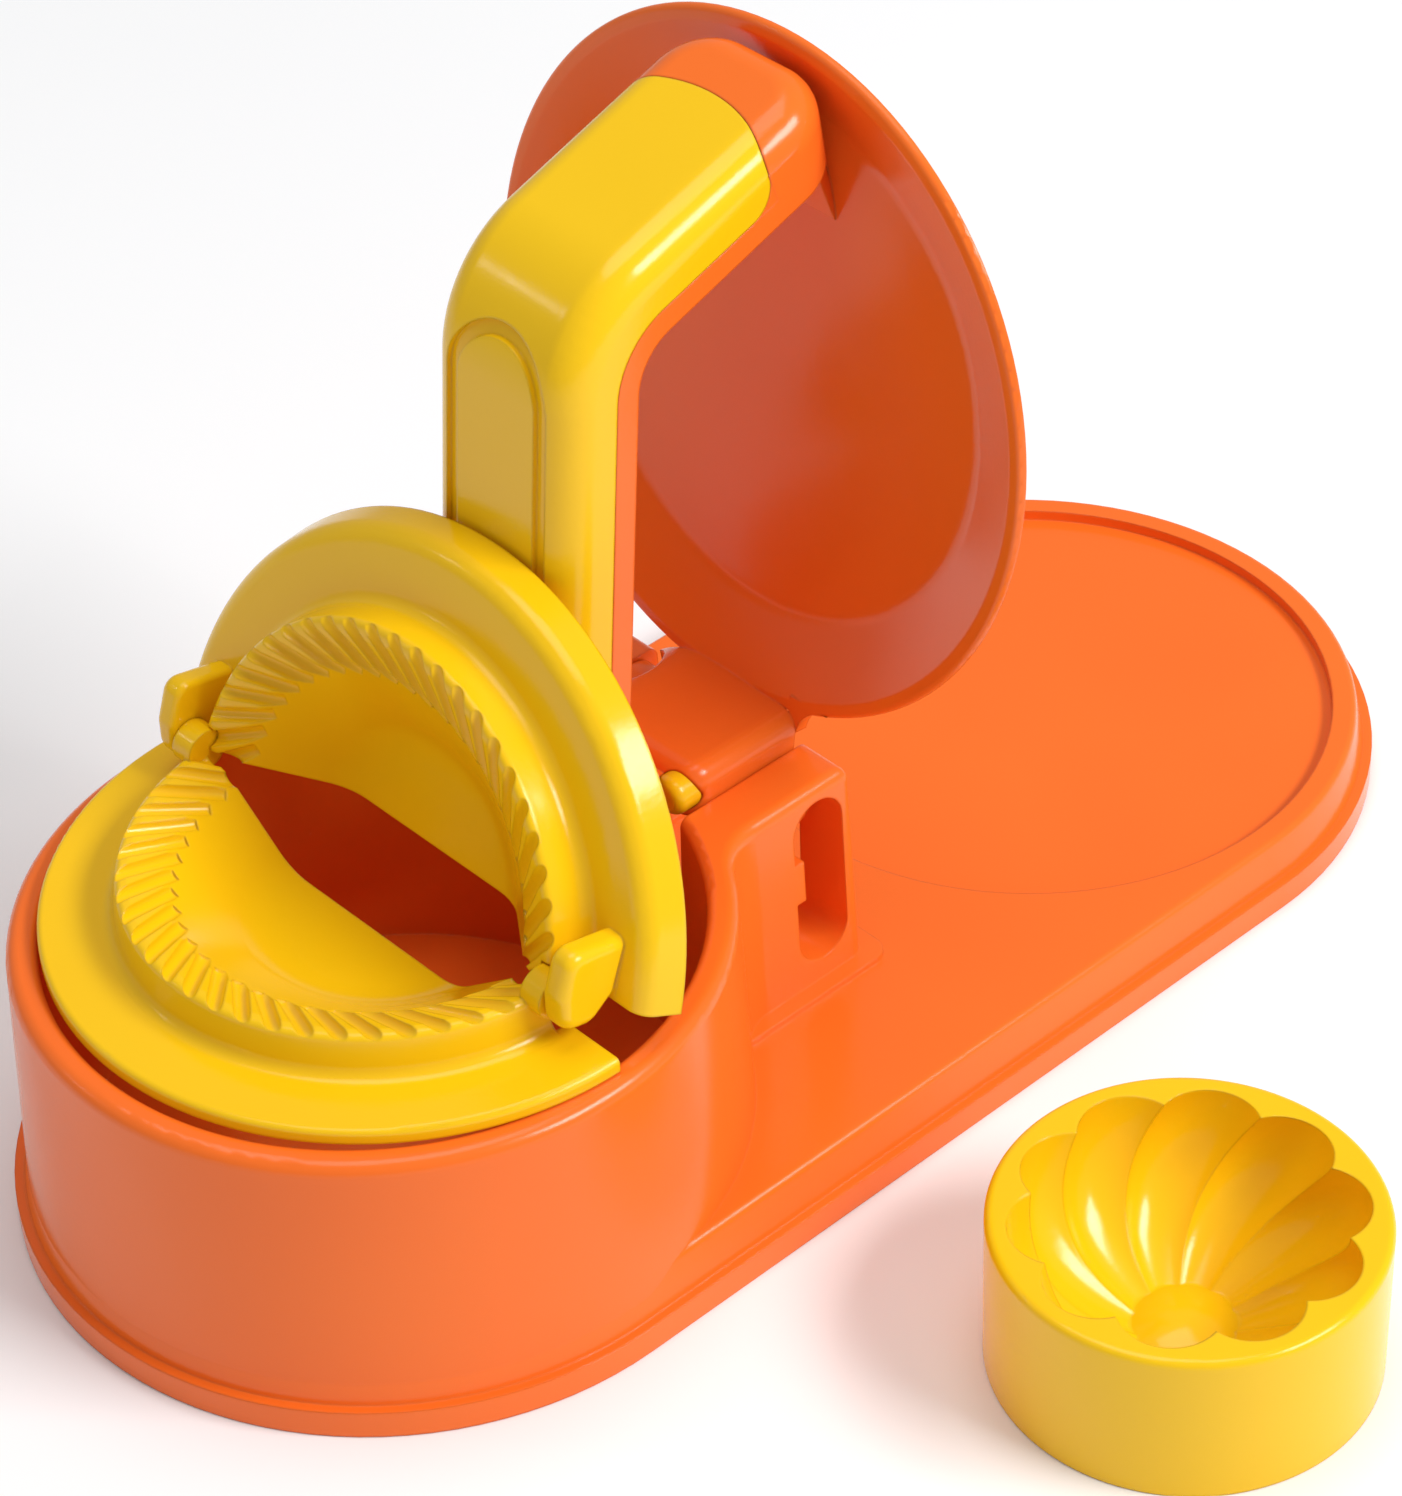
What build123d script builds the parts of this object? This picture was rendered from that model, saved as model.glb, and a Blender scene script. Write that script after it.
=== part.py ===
from build123d import *
import math
import os

# Two-in-one press for filled dough. Millimetres, +Z up. The origin is under the centre of the cup,
# on the plane that the base stands on. +X runs from the cup to the plate.

# Clearances between pieces
BODY_GAP = 0.3
RUNNING_FIT = 0.06

# Base: foot, cup and plate
PLATE_SPAN = 144.2
FOOT_RADIUS = 60.0
FOOT_HEIGHT = 5.0
PLATE_LOW_RADIUS = 58.4
PLATE_TOP_RADIUS = 56.9
PLATE_TOP = 12.3
PLATE_EDGE_ROUND = 1.2
RECESS_RADIUS = 52.9
RECESS_DEPTH = 2.0
PLATE_WALL = 2.6
CUP_LOW_RADIUS = 57.8
CUP_TOP_RADIUS = 55.9
RIM_TOP = 51.6
RIM_OUTER_ROUND = 2.2
RIM_INNER_ROUND = 1.6
CUP_BORE_RADIUS = 51.0
CUP_BORE_LOW_RADIUS = 50.2
CUP_FLOOR = 3.0
WALL_DRAFT = math.degrees(math.atan((CUP_LOW_RADIUS - CUP_TOP_RADIUS) / (RIM_TOP - FOOT_HEIGHT)))

# Base: hinge cheeks
CHEEK_BACK_LOW = 77.4
CHEEK_SIDE_LOW = 28.9
CHEEK_CORNER_ROUND = 3.2
CHEEK_BLEND = 9.0
CHEEK_INNER = 17.5
CHEEK_LEDGE = 2.6
CHEEK_LEDGE_HEIGHT = 1.2
CHEEK_GAP_START = 58.4
CUP_WALL_NOTCH_Z = 27.0
SLOT_LEFT = 62.8
SLOT_RIGHT = 73.4
SLOT_BOTTOM = 17.4
SLOT_TOP = 48.9
SLOT_STEP_WIDTH = 1.9
SLOT_STEP_LOW = 31.0
SLOT_STEP_HIGH = 38.9

# Lid hinge
PIN_RADIUS = (SLOT_RIGHT - SLOT_LEFT - SLOT_STEP_WIDTH) / 2 - BODY_GAP
PIN_X = SLOT_RIGHT - BODY_GAP - PIN_RADIUS
PIN_Z = SLOT_TOP - (SLOT_RIGHT - SLOT_LEFT) / 2
PIN_END = 26.4
BLOCK_HALF_WIDTH = CHEEK_INNER - BODY_GAP
BOSS_RADIUS = 7.6
BLOCK_FRONT = 50.9
BLOCK_BACK = 75.8
BLOCK_BOTTOM = 49.0
BLOCK_TOP = 57.6
BLOCK_CORNER = 4.2
BLOCK_EDGE_ROUND = 3.6
BLOCK_CROWN_START = 3.8
BLOCK_CROWN_EDGE = 50.1
SCOOP_RADIUS = 8.0
SCOOP_X = 65.5
SCOOP_Y = 16.4
SCOOP_FLOOR = 48.6
GUSSET_WIDTH = 6.2
GUSSET_DROP = 3.4
GUSSET_RADIUS = 7.0
FOOT_WEB_FRONT = 25.5
FOOT_WEB_BACK = 39.5

# Dish of the lid, leaning back
DISH_LEAN = 8.1
DISH_X = 81.4
DISH_Z = 111.5
DISH_RADIUS = 57.1
DISH_FLOOR_RADIUS = 44.0
DISH_DEPTH = 8.4
DISH_WALL = 2.4

# Handle
BAR_LEAN = 4.8
BAR_MID_X = 36.8
BAR_MID_Z = 115.0
ARM_RISE = 18.5
KNEE_Z = 143.8
KNEE_RADIUS = 17.0
HANDLE_WIDTH = 31.0
HANDLE_DEPTH = 14.2
HANDLE_ROUND = 6.2
SPINE_DEPTH = 4.2
SPINE_CORE_WIDTH = 12.0
COVER_WALL = 2.4
BAR_FOOT_Z = 56.5
COVER_FOOT_Z = 63.0
COVER_JOINT = 0.1
COVER_ARM_LENGTH = 40.7
COVER_END_RADIUS = 26.0
ARM_LENGTH = 62.0
ARM_END_X = 94.0
ARM_END_ROUND = 13.0
ARM_TOE_X = 91.2
ARM_TOE_Z = 139.5
ARM_TOE_START = 86.5
ARM_TOE_ROUND = 4.0
PAD_WIDTH = 21.6
PAD_LENGTH = 62.0
PAD_TOP_Z = 143.0
PAD_GROOVE = 1.2
PAD_GROOVE_DEPTH = 0.8

# Dough mould: two halves hinged on one line across the cup
MOULD_AXIS_Z = 61.4
MOULD_OPEN_TILT = 73.0
MOULD_CENTRE_BACK = 3.0
MOULD_RADIUS = 53.2
MOULD_SEAM = 0.15
CREST_IN = 38.8
CREST_OUT = 40.6
CREST_FOOT = 41.7
CREST_ROUND = 1.2
CREST_FOOT_ROUND = 2.2
FLANGE_DROP = 7.1
FLANGE_WALL = 2.4
FLANGE_ROUND = 0.9
REAR_SKIRT = 6.6
SKIRT_FLARE = 2.0
SKIRT_ROUND = 3.6
FLUTE_IN = 33.5
FLUTE_DROP = 1.9
FLUTE_COUNT = 25
FLUTE_SLANT = 38.0
FLUTE_RADIUS = 1.25
BOWL_FLAT_RADIUS = 19.5
BOWL_DROP = 13.0
BOWL_ROUND = 11.0
BOWL_WALL = 2.2
KNUCKLE_IN = 38.6
KNUCKLE_OUT = 42.8
KNUCKLE_RADIUS = 3.6
EAR_IN = KNUCKLE_OUT + BODY_GAP
EAR_OUT = 47.6
EAR_HUB_RADIUS = 4.4
EAR_RADIUS = 6.2
EAR_REACH = 5.4
STUB_RADIUS = 1.7
STUB_END = 46.2
FRONT_FLANGE_START = -2.5

# Peg in the hinge block
PEG_RADIUS = 3.4
PEG_Y = -13.3
PEG_Z = 53.0
PEG_FRONT = 48.6
PEG_LENGTH = 7.0

# Loose flower mould
FLOWER_X = 57.6
FLOWER_Y = -116.1
FLOWER_RADIUS = 30.4
FLOWER_HEIGHT = 27.7
FLOWER_LOBES = 10
FLOWER_TWIST = 34.0
FLOWER_FIRST_CUSP = 14.0
FLOWER_EDGE_ROUND = 1.2
FLOWER_DOME_RADIUS = 8.0
FLOWER_DOME_RISE = 2.0
FLOWER_FLOOR = 5.0

FLOWER_RIM_LOBE = 27.3
FLOWER_FLOOR_LOBE = 8.6
FLOWER_CUSP_SHARE = 0.87
FLOWER_BOWL_POWER = 2.6
FLOWER_LEVELS = 5


def stadium(radius):
    """Two equal half rounds joined by straights, one round at the origin."""
    middle = Pos(PLATE_SPAN / 2, 0) * Rectangle(PLATE_SPAN, 2 * radius)
    return Circle(radius) + middle + Pos(PLATE_SPAN, 0) * Circle(radius)


def prism_across(outline, half_width):
    """Extrude an outline drawn in the XZ plane equally to both sides of y = 0."""
    return extrude(Plane.XZ * outline, amount=half_width, both=True)


def outline_of(points):
    """Closed flat face through the given points."""
    return make_face(Polyline(*points, close=True))


def slot_outline():
    """Hinge slot in XZ: a round lobe at each end, and a straight step on the cup side between them."""
    lobe = (SLOT_RIGHT - SLOT_LEFT) / 2
    middle = SLOT_LEFT + lobe
    full = Pos(middle, (SLOT_TOP + SLOT_BOTTOM) / 2) * SlotOverall(SLOT_TOP - SLOT_BOTTOM, 2 * lobe, rotation=90)
    step_height = SLOT_STEP_HIGH - SLOT_STEP_LOW
    step = Pos(SLOT_LEFT + SLOT_STEP_WIDTH / 2, SLOT_STEP_LOW + step_height / 2)
    return full - step * Rectangle(SLOT_STEP_WIDTH, step_height)


def cup_and_cheeks():
    """Outer wall of the cup with the hinge block behind it, drafted as one."""
    block = Pos(CHEEK_BACK_LOW / 2, 0) * Rectangle(CHEEK_BACK_LOW, 2 * CHEEK_SIDE_LOW)
    plan = Sketch() + (Circle(CUP_LOW_RADIUS) + block)
    rear = [v for v in plan.vertices() if v.X > CHEEK_BACK_LOW - 1]
    plan = fillet(rear, CHEEK_CORNER_ROUND)
    necks = [v for v in plan.vertices() if abs(abs(v.Y) - CHEEK_SIDE_LOW) < 0.01 and v.X < 60]
    plan = fillet(necks, CHEEK_BLEND)
    body = extrude(Pos(0, 0, FOOT_HEIGHT) * plan, amount=RIM_TOP - FOOT_HEIGHT, taper=WALL_DRAFT)
    return fillet(body.faces().sort_by(Axis.Z)[-1].outer_wire().edges(), RIM_OUTER_ROUND)


def make_base():
    """Cup, plate, cheeks and foot as one moulding."""
    foot = extrude(stadium(FOOT_RADIUS), amount=FOOT_HEIGHT)
    slope = math.degrees(math.atan((PLATE_LOW_RADIUS - PLATE_TOP_RADIUS) / (PLATE_TOP - FOOT_HEIGHT)))
    plate = extrude(Pos(0, 0, FOOT_HEIGHT) * stadium(PLATE_LOW_RADIUS), amount=PLATE_TOP - FOOT_HEIGHT, taper=slope)
    plate = fillet(plate.faces().sort_by(Axis.Z)[-1].outer_wire().edges(), PLATE_EDGE_ROUND)
    ledge_size = (CHEEK_BACK_LOW + CHEEK_LEDGE, 2 * (CHEEK_SIDE_LOW + CHEEK_LEDGE))
    ledge = extrude(
        Pos(ledge_size[0] / 2, 0, PLATE_TOP - 1) * RectangleRounded(*ledge_size, CHEEK_CORNER_ROUND),
        amount=CHEEK_LEDGE_HEIGHT + 1,
    )
    recess = Pos(PLATE_SPAN, 0, PLATE_TOP - RECESS_DEPTH) * Cylinder(
        RECESS_RADIUS, 2 * RECESS_DEPTH, align=(Align.CENTER, Align.CENTER, Align.MIN)
    )
    hollow_top = PLATE_TOP - RECESS_DEPTH - PLATE_WALL
    hollow_start = CHEEK_BACK_LOW + 2 * PLATE_WALL
    hollow_radius = PLATE_TOP_RADIUS - PLATE_WALL
    hollow_length = PLATE_SPAN - hollow_start
    hollow_plan = Pos(hollow_start + hollow_length / 2, 0) * Rectangle(hollow_length, 2 * hollow_radius)
    hollow = extrude(hollow_plan + Pos(PLATE_SPAN, 0) * Circle(hollow_radius), amount=hollow_top)
    base = foot + plate + ledge + cup_and_cheeks() - recess - hollow

    bore_height = RIM_TOP - CUP_FLOOR
    bore = Pos(0, 0, CUP_FLOOR) * Cone(
        CUP_BORE_LOW_RADIUS, CUP_BORE_RADIUS, bore_height, align=(Align.CENTER, Align.CENTER, Align.MIN)
    )
    base -= bore
    rim = base.edges().filter_by(GeomType.CIRCLE).filter_by(lambda e: abs(e.radius - CUP_BORE_RADIUS) < 0.01)
    base = fillet(rim, RIM_INNER_ROUND)

    gap_back = 2 * CHEEK_BACK_LOW
    gap = outline_of(
        [
            (CUP_BORE_RADIUS - 8, CUP_WALL_NOTCH_Z),
            (CHEEK_GAP_START, CUP_WALL_NOTCH_Z),
            (CHEEK_GAP_START, PLATE_TOP),
            (gap_back, PLATE_TOP),
            (gap_back, 2 * RIM_TOP),
            (CUP_BORE_RADIUS - 8, 2 * RIM_TOP),
        ]
    )
    base -= prism_across(gap, CHEEK_INNER)
    return base - prism_across(slot_outline(), 2 * CHEEK_SIDE_LOW)


def dish_plane():
    """Lip plane of the dish; its normal points away from the cup."""
    lean = math.radians(DISH_LEAN)
    return Plane(origin=(DISH_X, 0, DISH_Z), x_dir=(0, 1, 0), z_dir=(math.cos(lean), 0, -math.sin(lean)))


def make_dish():
    """Shallow round dish whose back is the flat press face."""
    slope = (DISH_RADIUS - DISH_FLOOR_RADIUS) / DISH_DEPTH
    profile = outline_of(
        [
            (0, DISH_DEPTH - DISH_WALL),
            (DISH_FLOOR_RADIUS - DISH_WALL / 2, DISH_DEPTH - DISH_WALL),
            (DISH_RADIUS - DISH_WALL, 0),
            (DISH_RADIUS, 0),
            (DISH_RADIUS, DISH_WALL / 2),
            (DISH_FLOOR_RADIUS + slope * DISH_WALL / 2, DISH_DEPTH),
            (0, DISH_DEPTH),
        ]
    )
    bends = [v for v in profile.vertices() if abs(v.X - DISH_FLOOR_RADIUS) < 4]
    profile = fillet(bends, 7.0)
    lip = [v for v in profile.vertices() if v.X > DISH_RADIUS - DISH_WALL - 0.01 and v.Y < 0.01]
    profile = fillet(lip, DISH_WALL * 0.45)
    return dish_plane() * revolve(Plane.XZ * profile, Axis.Z)


def dish_backing():
    """Everything behind the middle of the dish's skin, for trimming what meets it from the front."""
    profile = outline_of(
        [
            (0, DISH_DEPTH - DISH_WALL / 2),
            (DISH_FLOOR_RADIUS, DISH_DEPTH - DISH_WALL / 2),
            (DISH_RADIUS - DISH_WALL / 2, 0),
            (2 * DISH_RADIUS, 0),
            (2 * DISH_RADIUS, DISH_RADIUS),
            (0, DISH_RADIUS),
        ]
    )
    return dish_plane() * revolve(Plane.XZ * profile, Axis.Z)


def bar_point(height):
    """Point on the handle bar's centre line at a height."""
    return Vector(BAR_MID_X + (height - BAR_MID_Z) * math.tan(math.radians(BAR_LEAN)), 0, height)


def arm_point(length):
    """Point on the handle arm's centre line, measured from the knee's corner."""
    rise = math.radians(ARM_RISE)
    return bar_point(KNEE_Z) + Vector(math.cos(rise), 0, math.sin(rise)) * length


def handle_sweep(path, width, depth, front_round, offset=0.0):
    """Solid swept along a handle path. The offset moves its section towards the hand's side."""
    start = Plane(origin=path @ 0, z_dir=path % 0, x_dir=(0, 1, 0))
    section = Pos(0, offset) * Rectangle(width, depth)
    if front_round > 0:
        section = fillet(section.vertices().group_by(Axis.Y)[-1], front_round)
    return sweep(start * section, path=path)


def handle_path(foot_height, arm_length):
    """Centre line of the handle from a height on the bar, round the knee, to a length on the arm."""
    return FilletPolyline(bar_point(foot_height), bar_point(KNEE_Z), arm_point(arm_length), radius=KNEE_RADIUS)


def cover_envelope(clearance):
    """Space that the grip cover fills on the handle, grown by a clearance towards the lid."""
    path = handle_path(COVER_FOOT_Z - clearance, COVER_ARM_LENGTH + clearance)
    depth = HANDLE_DEPTH - SPINE_DEPTH + clearance
    envelope = handle_sweep(path, HANDLE_WIDTH + 2, depth + 1, 0, (SPINE_DEPTH - clearance) / 2 + 0.5)
    rise = math.radians(ARM_RISE)
    along = Plane(
        origin=arm_point(0), x_dir=(math.cos(rise), 0, math.sin(rise)), z_dir=(-math.sin(rise), 0, math.cos(rise))
    )
    centre = COVER_ARM_LENGTH - COVER_END_RADIUS
    reach = 4 * COVER_ARM_LENGTH
    keep = Pos(centre - reach / 2, 0) * Rectangle(reach, 2 * COVER_END_RADIUS + 2)
    keep += Pos(centre, 0) * Circle(COVER_END_RADIUS + clearance)
    return envelope & extrude(along * keep, amount=reach, both=True)


def arm_line(offset, x):
    """Height at x of the line that runs parallel to the arm at an offset from its centre line."""
    rise = math.radians(ARM_RISE)
    return arm_point(0).Z + (x - arm_point(0).X) * math.tan(rise) + offset / math.cos(rise)


def arm_end_keep():
    """Space that bounds the arm: round in plan at its end, and turned over at its top."""
    reach = 4 * ARM_LENGTH
    half = HANDLE_WIDTH / 2
    plan = Pos(ARM_END_X - half - reach / 2, 0) * Rectangle(reach, HANDLE_WIDTH + 2)
    plan += Pos(ARM_END_X - half, 0) * Circle(half)
    start = (-reach, arm_line(HANDLE_DEPTH / 2, -reach))
    corner = (ARM_END_X, arm_line(HANDLE_DEPTH / 2, ARM_END_X))
    side = outline_of([start, corner, (ARM_END_X, -reach), (-reach, -2 * reach)])
    side = fillet(side.vertices().sort_by_distance((*corner, 0))[0], ARM_END_ROUND)
    return extrude(plan, amount=reach) & prism_across(side, HANDLE_WIDTH)


def arm_toe():
    """Tapered toe under the arm's end, down the floor of the dish."""
    under = -HANDLE_DEPTH / 2
    inner = (ARM_TOE_START, arm_line(under, ARM_TOE_START))
    back = ARM_END_X + DISH_DEPTH
    side = outline_of(
        [
            (ARM_TOE_X, ARM_TOE_Z),
            inner,
            (ARM_TOE_START - 12, arm_line(under, ARM_TOE_START - 12)),
            (ARM_TOE_START - 12, arm_line(0, ARM_TOE_START - 12)),
            (back, arm_line(0, ARM_TOE_START)),
            (back, ARM_TOE_Z),
        ]
    )
    side = fillet(side.vertices().sort_by_distance((*inner, 0))[0], ARM_TOE_ROUND)
    return prism_across(side, HANDLE_WIDTH / 2)


def make_spine():
    """The handle's structural back, with a core under the grip cover and full ends beyond it."""
    full = handle_sweep(handle_path(BAR_FOOT_Z, ARM_LENGTH), HANDLE_WIDTH, HANDLE_DEPTH, HANDLE_ROUND)
    spine = (full + arm_toe()) & arm_end_keep()
    spine -= cover_envelope(COVER_JOINT)
    core_path = handle_path(COVER_FOOT_Z - 1, COVER_ARM_LENGTH - COVER_END_RADIUS / 4)
    core_depth = HANDLE_DEPTH - SPINE_DEPTH - COVER_WALL - BODY_GAP
    core_offset = -HANDLE_DEPTH / 2 + SPINE_DEPTH + core_depth / 2
    return spine + handle_sweep(core_path, SPINE_CORE_WIDTH, core_depth + 0.2, 0, core_offset - 0.1)


def pad_groove():
    """Oval groove that frames a bare pad on the front of the bar."""
    front = Plane(origin=bar_point(PAD_TOP_Z - PAD_LENGTH / 2), z_dir=(-1, 0, 0), x_dir=(0, 1, 0))
    oval = SlotOverall(PAD_LENGTH, PAD_WIDTH, rotation=90)
    inner = SlotOverall(PAD_LENGTH - 2 * PAD_GROOVE, PAD_WIDTH - 2 * PAD_GROOVE, rotation=90)
    ring = extrude(front.rotated((0, 0, 0)) * (oval - inner), amount=2 * HANDLE_DEPTH)
    path = handle_path(COVER_FOOT_Z, COVER_ARM_LENGTH)
    full = handle_sweep(path, HANDLE_WIDTH + 2, HANDLE_DEPTH + 2, HANDLE_ROUND)
    sunk = handle_sweep(
        path,
        HANDLE_WIDTH - 2 * PAD_GROOVE_DEPTH,
        HANDLE_DEPTH,
        HANDLE_ROUND - PAD_GROOVE_DEPTH,
        -PAD_GROOVE_DEPTH,
    )
    return ring & (full - sunk)


def make_grip_cover():
    """Smooth shell over the front of the bar, knee and arm, with an arched end on the arm."""
    path = handle_path(COVER_FOOT_Z, COVER_ARM_LENGTH)
    cover = handle_sweep(path, HANDLE_WIDTH, HANDLE_DEPTH, HANDLE_ROUND) & cover_envelope(0)
    inside_width = HANDLE_WIDTH - 2 * COVER_WALL
    inside_depth = HANDLE_DEPTH - SPINE_DEPTH - COVER_WALL
    inside_offset = -HANDLE_DEPTH / 2 + SPINE_DEPTH + inside_depth / 2 - 0.5
    cover -= handle_sweep(path, inside_width, inside_depth + 1.0, HANDLE_ROUND - COVER_WALL, inside_offset)
    return cover - pad_groove()


def lip_gusset():
    """Small concave web between the dish's lip and the near side of the hinge block."""
    side = BLOCK_HALF_WIDTH
    outer = side + GUSSET_WIDTH
    lip = -math.sqrt((DISH_RADIUS - 0.3) ** 2 - outer**2)
    foot = -math.sqrt(DISH_RADIUS**2 - side**2) - GUSSET_DROP
    curve = RadiusArc((-outer, lip), (-side, foot), GUSSET_RADIUS)
    rest = Polyline((-side, foot), (-side + 2, foot), (-side + 2, lip), (-outer, lip))
    return dish_plane() * extrude(make_face(curve + rest), amount=DISH_WALL)


def make_block():
    """Hinge block between the cheeks, with a crown on its far edge and a scoop under the hand."""
    length = BLOCK_BACK - BLOCK_FRONT
    side = BLOCK_HALF_WIDTH
    plan = Pos(BLOCK_FRONT + length / 2, 0) * Rectangle(length, 2 * side)
    plan = fillet(plan.vertices().sort_by(Axis.X)[:2], BLOCK_CORNER)
    block = extrude(Pos(0, 0, BLOCK_BOTTOM) * plan, amount=BLOCK_TOP - BLOCK_BOTTOM)
    rims = [e for e in block.edges() if e.center().Z > BLOCK_TOP - 0.01 and e.center().X < BLOCK_BACK - 1]
    rims = [e for e in rims if e.center().Y < side - 1]
    block = fillet(rims, BLOCK_EDGE_ROUND)
    crown = TangentArc((BLOCK_CROWN_START, BLOCK_TOP), (side, BLOCK_CROWN_EDGE), tangent=(1, 0))
    corner = Polyline((side, BLOCK_CROWN_EDGE), (2 * side, BLOCK_CROWN_EDGE), (2 * side, 2 * BLOCK_TOP))
    corner += Polyline((2 * side, 2 * BLOCK_TOP), (BLOCK_CROWN_START, 2 * BLOCK_TOP), (BLOCK_CROWN_START, BLOCK_TOP))
    block -= extrude(Plane.YZ * make_face(crown + corner), amount=2 * BLOCK_BACK)
    scoop = Pos(SCOOP_X, SCOOP_Y, SCOOP_FLOOR) * Cylinder(
        SCOOP_RADIUS, BLOCK_TOP, align=(Align.CENTER, Align.CENTER, Align.MIN)
    )
    block -= scoop
    boss = outline_of(
        [
            (BLOCK_FRONT + 4, BLOCK_BOTTOM + 0.5),
            (BLOCK_BACK, BLOCK_BOTTOM + 0.5),
            (PIN_X + BOSS_RADIUS * 0.9, PIN_Z + BOSS_RADIUS * 0.44),
            (PIN_X, PIN_Z),
            (PIN_X - BOSS_RADIUS * 0.75, PIN_Z - BOSS_RADIUS * 0.65),
        ]
    )
    block += prism_across(boss + Pos(PIN_X, PIN_Z) * Circle(BOSS_RADIUS), side)
    foot = outline_of(
        [
            (BLOCK_FRONT + 4, BLOCK_BOTTOM),
            (BLOCK_FRONT, BLOCK_BOTTOM),
            (FOOT_WEB_FRONT, BAR_FOOT_Z),
            (FOOT_WEB_FRONT + 1.5, COVER_FOOT_Z - 1.2),
            (FOOT_WEB_BACK - 1.5, COVER_FOOT_Z - 1.2),
            (FOOT_WEB_BACK, COVER_FOOT_Z + 2),
            (BLOCK_FRONT - 3, BLOCK_TOP - 1),
            (BLOCK_FRONT + 4, BLOCK_TOP - 4),
        ]
    )
    return block + prism_across(foot, side - BLOCK_CORNER)


def make_press_lid():
    """Dish, handle core and hinge block as one moulding."""
    lid = make_dish() + (make_spine() - dish_backing()) + (make_block() - dish_backing()) + lip_gusset()
    bore = Pos(PIN_X, PIN_Z) * Circle(PIN_RADIUS + RUNNING_FIT)
    lid -= prism_across(bore, 2 * BLOCK_HALF_WIDTH)
    return lid - peg_seat()


def peg_seat():
    """Blind round seat in the front of the block for the peg."""
    seat = Plane(origin=(BLOCK_FRONT - 8, PEG_Y, PEG_Z), z_dir=(1, 0, 0)) * Circle(PEG_RADIUS + RUNNING_FIT)
    return extrude(seat, amount=8 + PEG_LENGTH)


def make_hinge_pin():
    """Plain round pin, rounded at both ends."""
    pin = Pos(PIN_X, 0, PIN_Z) * Rot(90, 0, 0) * Cylinder(PIN_RADIUS, 2 * PIN_END)
    return chamfer(pin.edges().filter_by(GeomType.CIRCLE), 0.6)


def make_push_peg():
    """Round-ended peg that stands out of the block's front."""
    plane = Plane(origin=(PEG_FRONT, PEG_Y, PEG_Z), z_dir=(1, 0, 0))
    peg = extrude(plane * Circle(PEG_RADIUS), amount=BLOCK_FRONT + PEG_LENGTH - BODY_GAP - PEG_FRONT)
    return fillet(peg.faces().sort_by(Axis.X)[0].edges(), PEG_RADIUS * 0.5)


def half_plane(tilt):
    """Frame of a mould half: x points outward from the hinge line, z points up from the crest."""
    angle = math.radians(tilt)
    return Plane(
        origin=(0, 0, MOULD_AXIS_Z),
        x_dir=(math.cos(angle), 0, math.sin(angle)),
        z_dir=(-math.sin(angle), 0, math.cos(angle)),
    )


def half_profile(skirt):
    """Section of a mould half from its centre out: bowl, crest and flange, with a skirt when asked for."""
    flange_back = -FLANGE_DROP - FLANGE_WALL
    slope = math.atan2(BOWL_DROP - FLUTE_DROP, FLUTE_IN - BOWL_FLAT_RADIUS)
    low_bend = BOWL_FLAT_RADIUS + BOWL_WALL * math.tan(slope / 2)
    high_bend = low_bend + (BOWL_DROP + BOWL_WALL + flange_back) / math.tan(slope)
    edge = (MOULD_RADIUS, -FLANGE_DROP)
    foot = (CREST_FOOT, -FLANGE_DROP)
    shoulder = (CREST_OUT, -MOULD_SEAM)
    bend = (BOWL_FLAT_RADIUS, -BOWL_DROP)
    outer_bend = (low_bend, -BOWL_DROP - BOWL_WALL)
    points = [(0, -BOWL_DROP), bend, (FLUTE_IN, -FLUTE_DROP), (CREST_IN, -MOULD_SEAM), shoulder, foot, edge]
    if skirt > 0:
        low_edge = (MOULD_RADIUS + SKIRT_FLARE, -FLANGE_DROP - skirt)
        points += [low_edge, (low_edge[0] - FLANGE_WALL, low_edge[1]), (MOULD_RADIUS - FLANGE_WALL, flange_back)]
    else:
        points += [(MOULD_RADIUS, flange_back)]
    points += [(high_bend, flange_back), outer_bend, (0, outer_bend[1])]
    face = outline_of(points)
    rounds = [
        (bend, BOWL_ROUND),
        (outer_bend, BOWL_ROUND + BOWL_WALL),
        (shoulder, CREST_ROUND),
        (foot, CREST_FOOT_ROUND),
        (edge, SKIRT_ROUND if skirt > 0 else FLANGE_ROUND),
    ]
    for corner, radius in rounds:
        face = fillet(face.vertices().sort_by_distance((*corner, 0))[0], radius)
    return face


def flute_cutters():
    """Slanted round grooves from the crest down towards the bowl, spread over half a turn."""
    length = 2 * (CREST_IN - FLUTE_IN) / math.cos(math.radians(FLUTE_SLANT))
    dip = math.degrees(math.atan2(FLUTE_DROP - MOULD_SEAM, CREST_IN - FLUTE_IN))
    middle_radius = (CREST_IN + FLUTE_IN) / 2
    rod = Rot(0, 90, 0) * Cylinder(FLUTE_RADIUS, length)
    cutters = []
    for index in range(FLUTE_COUNT):
        turn = -90 + (index + 0.5) * 180 / FLUTE_COUNT
        place = Pos(-MOULD_CENTRE_BACK, 0, 0) * Rot(0, 0, turn) * Pos(middle_radius, 0, -FLUTE_DROP / 2)
        cutters.append(place * Rot(0, -dip, 0) * Rot(0, 0, FLUTE_SLANT) * rod)
    return cutters


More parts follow.
